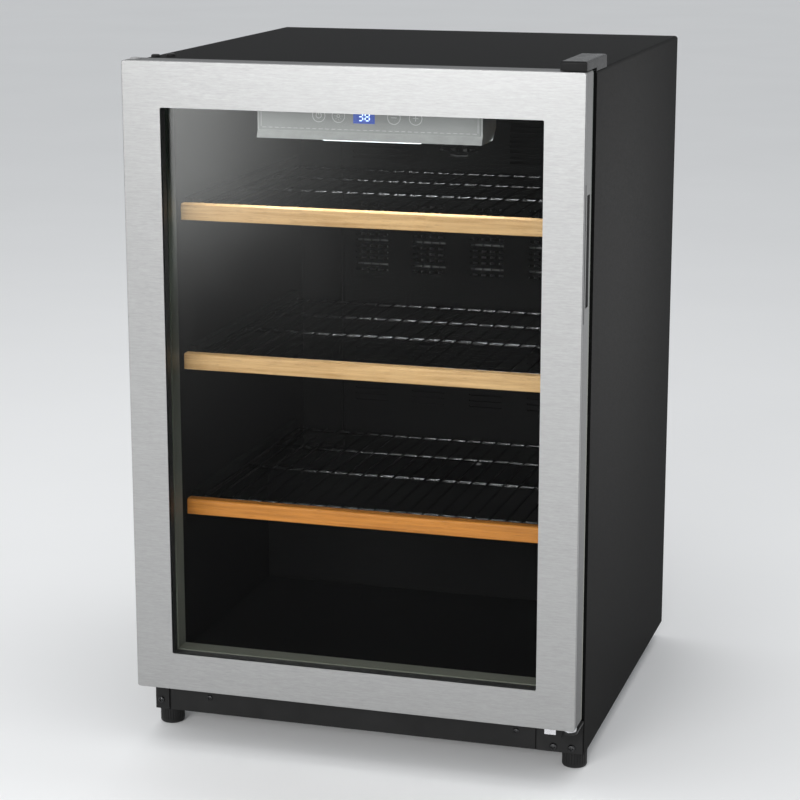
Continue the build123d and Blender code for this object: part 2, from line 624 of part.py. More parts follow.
HINGE_COVER_X = (242.0, 272.0)
HINGE_COVER_Y = (FRONT + 5, FRONT + 110)
HINGE_COVER_TOP = 840.5
COVER_SHEET = 1.5
COVER_STEP = CABINET_FRONT - 0.4
with BuildPart() as hinge_cover:
    block(HINGE_COVER_X, (HINGE_COVER_Y[0], COVER_STEP), (DOOR_TOP + 1, HINGE_COVER_TOP))
    block(HINGE_COVER_X, (COVER_STEP, HINGE_COVER_Y[1]), (CABINET_TOP, HINGE_COVER_TOP))
    fillet(hinge_cover.faces().sort_by(Axis.Z)[-1].edges(), 2.5)
    cover_inside = (HINGE_COVER_X[0] + COVER_SHEET, HINGE_COVER_X[1] - COVER_SHEET)
    block(cover_inside, (HINGE_COVER_Y[0] + COVER_SHEET, COVER_STEP + 1),
          (DOOR_TOP, HINGE_COVER_TOP - COVER_SHEET), Mode.SUBTRACT)
    block(cover_inside, (COVER_STEP, HINGE_COVER_Y[1] - COVER_SHEET),
          (CABINET_TOP - 1, HINGE_COVER_TOP - COVER_SHEET), Mode.SUBTRACT)
save(hinge_cover, "hinge_cover")

LEAF_X = (216.0, 271.0)
LEAF_Y = (CABINET_FRONT - HINGE_PLATE, CABINET_FRONT)
LOWER_ARM_Z = (60.0, 63.0)
LOWER_ARM_HALF = 8.5
LOWER_SCREWS = ((258.0, 28.0), (232.0, 46.0), (236.0, 28.0))
with BuildPart() as lower_hinge_bracket:
    block(LEAF_X, LEAF_Y, (FOOT_HEIGHT + 1, LOWER_ARM_Z[1]))
    block((HINGE_X - LOWER_ARM_HALF, HINGE_X + LOWER_ARM_HALF), (HINGE_Y, LEAF_Y[1]), LOWER_ARM_Z)
    rod((HINGE_X, HINGE_Y, LOWER_ARM_Z[0]), UP, LOWER_ARM_HALF, HINGE_PLATE)
    block((250, 252.5), (HINGE_Y, LEAF_Y[0]), (52, LOWER_ARM_Z[1]))
    block((250, 256), (HINGE_Y, LEAF_Y[0]), LOWER_ARM_Z)
    rod((HINGE_X, HINGE_Y, 50), UP, PIN_R, 30, Mode.SUBTRACT)
    for screw_x, screw_z in LOWER_SCREWS:
        rod((screw_x, LEAF_Y[1] + 1, screw_z), FORWARD, SCREW_R, 9, Mode.SUBTRACT)
save(lower_hinge_bracket, "lower_hinge_bracket")

COLLAR_TOP = 66.0
PIN_REACH = 12.5
with BuildPart() as hinge_pins:
    rod((HINGE_X, HINGE_Y, DOOR_TOP - PIN_REACH), UP, PIN_R, TOP_ARM_Z[1] - DOOR_TOP + PIN_REACH)
    rod((HINGE_X, HINGE_Y, LOWER_ARM_Z[0]), UP, PIN_R, DOOR_BOTTOM + PIN_REACH - LOWER_ARM_Z[0])
    rod((HINGE_X, HINGE_Y, LOWER_ARM_Z[1]), UP, 7.5, COLLAR_TOP - LOWER_ARM_Z[1])
save(hinge_pins, "hinge_pins")

with BuildPart() as hinge_washer:
    rod((HINGE_X, HINGE_Y, COLLAR_TOP), UP, 7.5, DOOR_BOTTOM - 0.3 - COLLAR_TOP)
    rod((HINGE_X, HINGE_Y, COLLAR_TOP - 1), UP, PIN_R + 0.2, 8, Mode.SUBTRACT)
save(hinge_washer, "hinge_washer")

with BuildPart() as hinge_screws:
    for screw_x, screw_y in TOP_SCREWS:
        head = (screw_x, screw_y, CABINET_TOP + HINGE_PLATE)
        domed_screw(head, UP, 4.5, 2.6, SCREW_R, HINGE_PLATE + STEEL)
    for screw_x, screw_z in LOWER_SCREWS:
        domed_screw((screw_x, LEAF_Y[0], screw_z), FORWARD, 4.6, 2.8, SCREW_R, HINGE_PLATE)
save(hinge_screws, "hinge_screws")

with BuildPart() as screw_plugs:
    for screw_x, screw_y in TOP_SCREWS:
        domed_screw((-screw_x, screw_y, CABINET_TOP), UP, 5.5, 3.0, PLUG_R, STEEL)
save(screw_plugs, "screw_plugs")

# ---- Door --------------------------------------------------------------------------------------
BEZEL = 1.0
BEZEL_RETURN = 4.0
with BuildPart() as door_bezel:
    plate(DOOR, FRONT, FRONT + BEZEL_RETURN, corner=3)
    fillet(door_bezel.faces().sort_by(Axis.Y)[0].edges(), 0.9)
    plate(grow(DOOR, -BEZEL), FRONT + BEZEL, FRONT + BEZEL_RETURN + 1, corner=2, mode=Mode.SUBTRACT)
    plate(WINDOW, FRONT - 1, FRONT + BEZEL + 1, corner=2, mode=Mode.SUBTRACT)
save(door_bezel, "door_bezel")

WALL = 2.5
POCKET = grow(WINDOW, GLASS_LAP + 1)  # where the glass unit sits
UNIT_BACK = FRONT + BEZEL + GLASS_UNIT
BUSH_R = 5.9
HANDLE_Z = (549.5, 705.5)
HANDLE_Y = (FRONT + 6, DOOR_BACK - 2.5)
HINGE_HOLES = [(side * HINGE_X, HINGE_Y) for side in (-1, 1)]
with BuildPart() as door_frame:
    plate(grow(DOOR, -BEZEL), FRONT + BEZEL, FRONT + BEZEL_RETURN, corner=2)
    plate(DOOR, FRONT + BEZEL_RETURN, DOOR_BACK - WALL, corner=3)
    plate(POCKET, FRONT, DOOR_BACK, mode=Mode.SUBTRACT)
    channel = grow(DOOR, -BEZEL - WALL)
    with BuildSketch(front_plane(FRONT + BEZEL + WALL)):
        with Locations((0, (DOOR_BOTTOM + DOOR_TOP) / 2)):
            Rectangle(2 * channel[0], channel[2] - channel[1])
        wall_outline = grow(POCKET, WALL)
        with Locations((0, (wall_outline[1] + wall_outline[2]) / 2)):
            Rectangle(2 * wall_outline[0], wall_outline[2] - wall_outline[1], mode=Mode.SUBTRACT)
    extrude(amount=-DOOR_THICK, mode=Mode.SUBTRACT)
    both_sides((HALF - 5, HALF + 1), HANDLE_Y, HANDLE_Z, Mode.SUBTRACT)
    for hole_x, hole_y in HINGE_HOLES:
        rod((hole_x, hole_y, DOOR_BOTTOM - 1), UP, BUSH_R, 6, Mode.SUBTRACT)
        rod((hole_x, hole_y, DOOR_TOP - 5), UP, BUSH_R, 6, Mode.SUBTRACT)
save(door_frame, "door_frame")

with BuildPart() as door_back:
    plate(DOOR, DOOR_BACK - WALL, DOOR_BACK, corner=3)
    plate(grow(WINDOW, WALL), UNIT_BACK, FRONT + RIM_DEPTH)
    fillet(door_back.faces().sort_by(Axis.Y)[-1].edges(), 1.5)
    plate(WINDOW, FRONT, FRONT + RIM_DEPTH + 1, mode=Mode.SUBTRACT)
save(door_back, "door_back")

UNIT = grow(WINDOW, GLASS_LAP)
with BuildPart() as outer_glass:
    plate(UNIT, FRONT + BEZEL, FRONT + BEZEL + GLASS_THICK)
save(outer_glass, "outer_glass")

with BuildPart() as inner_glass:
    plate(UNIT, UNIT_BACK - GLASS_THICK, UNIT_BACK)
save(inner_glass, "inner_glass")

with BuildPart() as glass_spacer:
    plate(UNIT, FRONT + BEZEL + GLASS_THICK, UNIT_BACK - GLASS_THICK)
    plate(WINDOW, FRONT, UNIT_BACK, mode=Mode.SUBTRACT)
save(glass_spacer, "glass_spacer")

GASKET_OUTER = 258.0
GASKET_WIDE = 16.0
GASKET_WALL = 1.5
GASKET_BACK = CABINET_FRONT - 0.3
GASKET = (GASKET_OUTER, DOOR_BOTTOM + 12.5, DOOR_TOP - 15)
GASKET_BED = GASKET_BACK - 1.8
with BuildPart() as door_gasket:
    plate(GASKET, DOOR_BACK, GASKET_BACK, corner=5)
    plate(grow(GASKET, -GASKET_WIDE), DOOR_BACK - 1, GASKET_BACK + 1, corner=3, mode=Mode.SUBTRACT)
    with BuildSketch(front_plane(DOOR_BACK - 1)):
        with Locations((0, (GASKET[1] + GASKET[2]) / 2)):
            for inset, mode in ((GASKET_WALL, Mode.ADD), (GASKET_WIDE - GASKET_WALL, Mode.SUBTRACT)):
                groove_outline = grow(GASKET, -inset)
                Rectangle(2 * groove_outline[0], groove_outline[2] - groove_outline[1], mode=mode)
    extrude(amount=-(GASKET_BED - DOOR_BACK + 1), mode=Mode.SUBTRACT)
save(door_gasket, "door_gasket")

MAGNET = (GASKET_BED - 4, GASKET_BED)
MAGNET_INSET = (4.0, 12.0)
with BuildPart() as gasket_magnets:
    near, far = MAGNET_INSET
    strip_low = (GASKET[1] + near, GASKET[1] + far)
    strip_high = (GASKET[2] - far, GASKET[2] - near)
    both_sides((GASKET_OUTER - far, GASKET_OUTER - near), MAGNET, (strip_low[1] + 2, strip_high[0] - 2))
    for strip_z in (strip_low, strip_high):
        block((near - GASKET_OUTER, GASKET_OUTER - near), MAGNET, strip_z)
save(gasket_magnets, "gasket_magnets")

CUP_DEEP = 25.0
SLOT_Y = (FRONT + 15, FRONT + 29)
SLOT_Z = (566.0, 693.0)
CUP_WALL = 1.6
with BuildPart() as handle_cups:
    both_sides((HALF - 2.5, HALF), HANDLE_Y, HANDLE_Z)
    cup_x = (HALF - CUP_DEEP, HALF - 2.5)
    cup_y = (SLOT_Y[0] - CUP_WALL, SLOT_Y[1] + CUP_WALL)
    both_sides(cup_x, cup_y, (SLOT_Z[0] - CUP_WALL, SLOT_Z[1] + CUP_WALL))
    both_sides((cup_x[0] + CUP_WALL, HALF + 1), SLOT_Y, SLOT_Z, Mode.SUBTRACT)
    groove_y = (HANDLE_Y[0], HANDLE_Y[0] + 3)
    both_sides((HALF - 1.5, HALF + 1), groove_y, (HANDLE_Z[0], HANDLE_Z[1]), Mode.SUBTRACT)
save(handle_cups, "handle_cups")

BUSH_LONG = 15.0
with BuildPart() as door_bushings:
    rod((HINGE_X, HINGE_Y, DOOR_BOTTOM), UP, BUSH_R, BUSH_LONG)
    rod((HINGE_X, HINGE_Y, DOOR_TOP), DOWN, BUSH_R, BUSH_LONG)
    rod((HINGE_X, HINGE_Y, DOOR_BOTTOM - 1), UP, PIN_R + RUNNING_FIT, PIN_REACH + 2, Mode.SUBTRACT)
    rod((HINGE_X, HINGE_Y, DOOR_TOP + 1), DOWN, PIN_R + RUNNING_FIT, PIN_REACH + 2, Mode.SUBTRACT)
save(door_bushings, "door_bushings")

with BuildPart() as door_plugs:
    domed_screw((-HINGE_X, HINGE_Y, DOOR_TOP), UP, 6.4, 1.8, BUSH_R, 5)
    domed_screw((-HINGE_X, HINGE_Y, DOOR_BOTTOM), DOWN, 6.4, 1.8, BUSH_R, 5)
save(door_plugs, "door_plugs")

STOP_X = (234.0, 247.6)
STOP_IN = 12.0
STOP_LONG = 20.0
STOP_SHEET = 2.0
STOP_LOW = DOOR_BOTTOM - 10.5
with BuildPart() as door_stop:
    stop_y = FRONT + STOP_IN
    block(STOP_X, (stop_y, stop_y + STOP_LONG), (DOOR_BOTTOM - STOP_SHEET, DOOR_BOTTOM))
    block(STOP_X, (stop_y, stop_y + STOP_SHEET), (STOP_LOW, DOOR_BOTTOM))
    block((STOP_X[0], STOP_X[0] + STOP_SHEET), (stop_y, stop_y + 14), (STOP_LOW, DOOR_BOTTOM))
save(door_stop, "door_stop")

# ---- Shelves -----------------------------------------------------------------------------------
FASCIA_Y = (FRONT + SHELF_IN, FRONT + SHELF_IN + FASCIA_THICK)
RACK_HALF = 224.0
RACK_BACK = 188.0
WIRES = 21
WIRE_PITCH = 20.4
PEG = 9.0  # side rods let into the wooden front
CROSS_RODS_Y = (FASCIA_Y[1] + 4, FASCIA_Y[1] + 26, -20.0, 90.0, RACK_BACK - 4)


def make_shelf(number, top):
    """One shelf: a welded wire rack whose side rods are pegged into a wooden front."""
    rod_z = side_rod_z(top)
    wire_z = top - WIRE_DROP - WIRE_R
    with BuildPart() as rack:
        rack_plane = Plane(origin=(0, FASCIA_Y[1], wire_z), x_dir=(1, 0, 0), z_dir=REARWARD)
        with Locations(rack_plane):
            with GridLocations(WIRE_PITCH, 0, WIRES, 1):
                Cylinder(WIRE_R, RACK_BACK - FASCIA_Y[1],
                         align=(Align.CENTER, Align.CENTER, Align.MIN))
        for side in (-1, 1):
            rod((side * RACK_HALF, FASCIA_Y[1] - PEG, rod_z), REARWARD, SIDE_R,
                RACK_BACK - FASCIA_Y[1] + PEG)
        for cross_y in CROSS_RODS_Y:
            rod((-RACK_HALF, cross_y, rod_z), (1, 0, 0), CROSS_R, 2 * RACK_HALF)
    save(rack, f"shelf_rack_{number}")

    with BuildPart() as fascia:
        block((-FASCIA_HALF, FASCIA_HALF), FASCIA_Y, (top - FASCIA_HEIGHT, top))
        fillet(fascia.edges().filter_by(Axis.X).group_by(Axis.Z)[-1], 3)
        fillet(fascia.edges().filter_by(Axis.X).group_by(Axis.Z)[0].sort_by(Axis.Y)[0], 1.5)
        for side in (-1, 1):
            rod((side * RACK_HALF, FASCIA_Y[1] - PEG, rod_z), REARWARD, SIDE_R, 12, Mode.SUBTRACT)
    save(fascia, f"shelf_fascia_{number}")


for shelf_number, shelf_top in enumerate(SHELF_TOPS, start=1):
    make_shelf(shelf_number, shelf_top)

# ---- Feet --------------------------------------------------------------------------------------
PAD_R = 15.0
PAD_TOP = FOOT_HEIGHT - 1
STUD_Z = (7.0, 52.0)
GROOVES = 28


def foot_pad(centre_x, centre_y, top):
    """A ribbed pad with a rounded lower edge."""
    rod((centre_x, centre_y, 0), UP, PAD_R, top)
    fillet(edges().filter_by(GeomType.CIRCLE).group_by(Axis.Z)[0], 3)
    with Locations((centre_x, centre_y, 5)):
        with PolarLocations(PAD_R, GROOVES):
            Cylinder(0.7, top, align=(Align.CENTER, Align.CENTER, Align.MIN), mode=Mode.SUBTRACT)


for side, side_name in ((-1, "left"), (1, "right")):
    with BuildPart() as pad:
        foot_pad(side * FOOT_X, FOOT_Y, PAD_TOP)
        rod((side * FOOT_X, FOOT_Y, STUD_Z[0]), UP, STUD_R + RUNNING_FIT, 30, Mode.SUBTRACT)
    save(pad, f"foot_pad_{side_name}")
    with BuildPart() as stud:
        rod((side * FOOT_X, FOOT_Y, STUD_Z[0]), UP, STUD_R, STUD_Z[1] - STUD_Z[0])
        chamfer(stud.edges().filter_by(GeomType.CIRCLE).group_by(Axis.Z)[-1], 0.8)
    save(stud, f"foot_stud_{side_name}")

REAR_FOOT_X = 246.0
REAR_FOOT_Y = 236.0
with BuildPart() as rear_feet:
    for side in (-1, 1):
        rod((side * REAR_FOOT_X, REAR_FOOT_Y, 0), UP, 13, FOOT_HEIGHT)
    chamfer(rear_feet.edges().filter_by(GeomType.CIRCLE).group_by(Axis.Z)[0], 2)
save(rear_feet, "rear_feet")
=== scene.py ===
"""Looks of a glass-door beverage cooler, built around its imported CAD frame.

Metres, +Z up, the door faces -Y. Every surface gets a node material, and the soft gasket, the printed
keys, the display digits and the screws are pieces of their own.
"""

import json
import math

import bmesh
import bpy
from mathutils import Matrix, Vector


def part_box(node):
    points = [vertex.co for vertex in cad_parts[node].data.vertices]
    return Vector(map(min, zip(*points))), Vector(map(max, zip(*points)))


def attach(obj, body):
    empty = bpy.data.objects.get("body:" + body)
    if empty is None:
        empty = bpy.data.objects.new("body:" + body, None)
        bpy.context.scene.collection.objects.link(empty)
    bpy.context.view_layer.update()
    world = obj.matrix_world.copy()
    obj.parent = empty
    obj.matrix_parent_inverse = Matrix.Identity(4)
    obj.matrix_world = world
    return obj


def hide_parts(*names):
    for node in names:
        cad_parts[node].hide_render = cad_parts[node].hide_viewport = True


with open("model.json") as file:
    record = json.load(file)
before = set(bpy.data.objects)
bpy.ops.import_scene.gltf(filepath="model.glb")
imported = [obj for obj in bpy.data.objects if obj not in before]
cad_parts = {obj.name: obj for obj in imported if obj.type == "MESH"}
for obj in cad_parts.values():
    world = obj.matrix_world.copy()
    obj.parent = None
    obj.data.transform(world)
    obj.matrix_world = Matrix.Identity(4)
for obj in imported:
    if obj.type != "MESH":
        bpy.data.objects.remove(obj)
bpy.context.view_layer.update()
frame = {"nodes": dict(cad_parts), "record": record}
MM = 0.001
BODY = "cabinet"  # the body that every piece rides on, but for the gasket


# ---- Node helpers ------------------------------------------------------------------------------
def add(tree, kind, inputs=None, **settings):
    """A node with its settings and inputs. An input is a plain value or another node's socket."""
    node = tree.nodes.new("ShaderNode" + kind)
    for key, value in settings.items():
        setattr(node, key, value)
    for key, value in (inputs or {}).items():
        if isinstance(value, bpy.types.NodeSocket):
            tree.links.new(value, node.inputs[key])
        else:
            node.inputs[key].default_value = value
    return node


def new_tree(name):
    """An empty material with its output node."""
    material = bpy.data.materials.new(name)
    material.use_nodes = True
    tree = material.node_tree
    tree.nodes.clear()
    return material, tree, tree.nodes.new("ShaderNodeOutputMaterial")


def finished(material, tree, output, inputs):
    """The material with a Principled shader of these inputs on its output."""
    shader = add(tree, "BsdfPrincipled", inputs)
    tree.links.new(shader.outputs[0], output.inputs[0])
    return material


def place(tree, stretch=(1, 1, 1)):
    """Object coordinates, multiplied along each axis."""
    coords = add(tree, "TexCoord").outputs["Object"]
    return add(tree, "Mapping", {"Vector": coords, "Scale": stretch}).outputs["Vector"]


def noise(tree, vector, scale, detail=4.0, rough=0.55):
    inputs = {"Vector": vector, "Scale": scale, "Detail": detail, "Roughness": rough}
    return add(tree, "TexNoise", inputs).outputs["Fac"]


def spread(tree, factor, low, high, start=0.3, end=0.7):
    """The factor's middle range spread from low to high."""
    inputs = {"Value": factor, "From Min": start, "From Max": end, "To Min": low, "To Max": high}
    return add(tree, "MapRange", inputs).outputs["Result"]


def blend(tree, factor, first, second):
    """A colour between two, each a plain colour or another node's socket."""
    node = add(tree, "Mix", data_type="RGBA")
    for index, value in ((0, factor), (6, first), (7, second)):
        if isinstance(value, bpy.types.NodeSocket):
            tree.links.new(value, node.inputs[index])
        else:
            node.inputs[index].default_value = value if index == 0 else (*value, 1.0)
    return node.outputs[2]


def maths(tree, operation, first, second):
    return add(tree, "Math", {0: first, 1: second}, operation=operation).outputs[0]


def bump(tree, height, strength, distance):
    inputs = {"Height": height, "Strength": strength, "Distance": distance}
    return add(tree, "Bump", inputs).outputs["Normal"]


WEAR_SCALE = 3.1  # how much finer the roughness varies than the tone


def surface(name, dark, light, rough, grain, tone_scale, grain_scale, stretch=(1, 1, 1), **plain):
    """A material whose tone, roughness and fine relief each follow their own noise.

    rough is (low, high) and grain is (strength, depth in millimetres). plain goes straight on the shader.
    """
    material, tree, output = new_tree(name)
    vector = place(tree, stretch)
    tone = spread(tree, noise(tree, vector, tone_scale, 6.0), 0.0, 1.0)
    colour = blend(tree, tone, dark, light)
    fine = noise(tree, vector, grain_scale, 3.0)
    worn = spread(tree, noise(tree, vector, WEAR_SCALE * tone_scale, 5.0), rough[0], rough[1])
    inputs = {"Base Color": colour, "Roughness": worn}
    inputs["Normal"] = bump(tree, fine, grain[0], grain[1] * MM)
    return finished(material, tree, output, {**inputs, **plain})


def grey(value, tint=0.0):
    return (value, value, value * (1 + tint))


# ---- Materials that need more than the general one ---------------------------------------------
# How fine each kind of brushing is along x, y and z, in features a metre.
BRUSHING_FINE = (150, 150, 1000)
BRUSHING_HAIR = (260, 260, 2600)
BRUSHING_STREAK = (45, 45, 620)
WOOD_GRAIN = (9, 150, 260)
WOOD_FLECK = (90, 700, 900)
WOOD_BLOCKS = 13.0  # a metre


def brushed_steel():
    """Fine horizontal brushing, with longer streaks and soft clouds over it."""
    material, tree, output = new_tree("stainless_brushed")
    fine = noise(tree, place(tree, BRUSHING_FINE), 1.0, 4.0, 0.6)
    hair = noise(tree, place(tree, BRUSHING_HAIR), 1.0, 3.0, 0.6)
    streak = noise(tree, place(tree, BRUSHING_STREAK), 1.0, 3.0, 0.55)
    cloud = noise(tree, place(tree), 5.0, 3.0)
    mixed = maths(tree, "ADD", maths(tree, "MULTIPLY", fine, 0.6), maths(tree, "MULTIPLY", streak, 0.4))
    tone = spread(tree, mixed, 0.0, 1.0, 0.32, 0.68)
    colour = blend(tree, tone, grey(0.310, -0.01), grey(0.395, -0.005))
    colour = blend(tree, spread(tree, cloud, 0.0, 0.2), colour, grey(0.350))
    height = maths(tree, "ADD", fine, hair)
    inputs = {
        "Base Color": colour,
        "Metallic": 1.0,
        "Roughness": spread(tree, fine, 0.34, 0.42),
        "Normal": bump(tree, height, 0.20, 0.02 * MM),
    }
    return finished(material, tree, output, inputs)


def beech(name, dark, light):
    """Oiled beech: long grain, short flecks, and blocks glued end to end that differ a little."""
    material, tree, output = new_tree(name)
    along = add(tree, "SeparateXYZ", {"Vector": place(tree)}).outputs["X"]
    blocks = {"W": maths(tree, "MULTIPLY", along, WOOD_BLOCKS), "Randomness": 0.8}
    cell = add(tree, "TexVoronoi", blocks, voronoi_dimensions="1D")
    part = add(tree, "SeparateColor", {"Color": cell.outputs["Color"]}).outputs["Red"]
    grain = noise(tree, place(tree, WOOD_GRAIN), 1.0, 7.0, 0.66)
    fleck = noise(tree, place(tree, WOOD_FLECK), 1.0, 2.0)
    tone = spread(tree, grain, 0.0, 1.0)
    colour = blend(tree, tone, dark, light)
    shade = tuple(0.80 * value for value in light)
    colour = blend(tree, maths(tree, "MULTIPLY", part, 0.30), colour, shade)
    pores = spread(tree, fleck, 0.0, 0.35, 0.58, 0.72)
    colour = blend(tree, pores, colour, tuple(0.45 * value for value in dark))
    inputs = {
        "Base Color": colour,
        "Roughness": spread(tree, grain, 0.34, 0.50),
        "Normal": bump(tree, maths(tree, "ADD", grain, fleck), 0.25, 0.12 * MM),
        "Specular IOR Level": 0.3,
        "Coat Weight": 0.05,
        "Coat Roughness": 0.3,
    }
    return finished(material, tree, output, inputs)


def reveal_painted_reflection():
    """The door's glass reveal: grey-green, with a painted reflection that runs from near black at its top to
    pale at its bottom.
    """
    material, tree, output = new_tree("reveal_grey_green_painted_reflection")
    height = add(tree, "SeparateXYZ", {"Vector": place(tree)}).outputs["Z"]
    tone = spread(tree, noise(tree, place(tree), 200.0, 5.0), 0.85, 1.0)
    # Painted reflection: the base colour goes from near black at the reveal's top to pale grey-green lower
    # down.
    level = maths(tree, "MULTIPLY", spread(tree, height, 1.0, 0.0, 0.15, 0.72), tone)
    inputs = {
        "Base Color": blend(tree, level, (0.018, 0.024, 0.020), (0.190, 0.195, 0.165)),
        "Roughness": spread(tree, tone, 0.42, 0.50, 0.85, 1.0),
        "Normal": bump(tree, noise(tree, place(tree), 1800.0, 3.0), 0.05, 0.02 * MM),
        "Specular IOR Level": 0.2,
    }
    return finished(material, tree, output, inputs)


def pane(name, tint, mirror, blur=0.02):
    """Clear float glass: it passes light straight through, and its outer faces mirror more at a slant."""
    material, tree, output = new_tree(name)
    film = noise(tree, place(tree), 6.0, 3.0)
    facing = add(tree, "Fresnel", {"IOR": 1.5}).outputs[0]
    outside = maths(tree, "SUBTRACT", 1.0, add(tree, "NewGeometry").outputs["Backfacing"])
    steep = maths(tree, "MULTIPLY", maths(tree, "MULTIPLY", facing, facing), outside)
    share = maths(tree, "MULTIPLY", steep, spread(tree, film, mirror[0], mirror[1]))
    clear = add(tree, "BsdfTransparent", {"Color": (*tint, 1.0)}).outputs[0]
    inputs = {
        "Base Color": blend(tree, film, grey(0.9), grey(0.97)),
        "Metallic": 1.0,
        "Roughness": spread(tree, film, blur, blur + 0.03),
    }
    gloss = add(tree, "BsdfPrincipled", inputs).outputs[0]
    mixed = add(tree, "MixShader", {0: share, 1: clear, 2: gloss})
    tree.links.new(mixed.outputs[0], output.inputs[0])
    return material


def glowing(name, colour, strength, dark):
    """A lit face behind a finely speckled diffuser."""
    material, tree, output = new_tree(name)
    speck = noise(tree, place(tree), 1400.0, 2.0)
    inputs = {
        "Base Color": blend(tree, speck, dark, colour),
        "Roughness": spread(tree, speck, 0.18, 0.3),
        "Emission Color": blend(tree, speck, colour, tuple(0.8 * value for value in colour)),
        "Emission Strength": strength,
    }
    return finished(material, tree, output, inputs)


def spangled_zinc(name):
    """Galvanised sheet with its patchwork of crystals."""
    material, tree, output = new_tree(name)
    cells = add(tree, "TexVoronoi", {"Vector": place(tree), "Scale": 120.0})
    part = add(tree, "SeparateColor", {"Color": cells.outputs["Color"]}).outputs["Green"]
    fine = noise(tree, place(tree), 500.0, 4.0)
    inputs = {
        "Base Color": blend(tree, part, grey(0.42, 0.03), grey(0.58, 0.02)),
        "Metallic": 1.0,
        "Roughness": spread(tree, part, 0.34, 0.55, 0.0, 1.0),
        "Normal": bump(tree, fine, 0.12, 0.05 * MM),
    }
    return finished(material, tree, output, inputs)


METAL = {"Metallic": 1.0}
CLEAR = (0.965, 0.970, 0.967)
PANE_MIRROR = (0.7, 0.9)


def shine(level):
    """A dielectric's specular level, as a shader input."""
    return {"Specular IOR Level": level}


def coat(weight, rough):
    """A clear coat, as shader inputs."""
    return {"Coat Weight": weight, "Coat Roughness": rough}


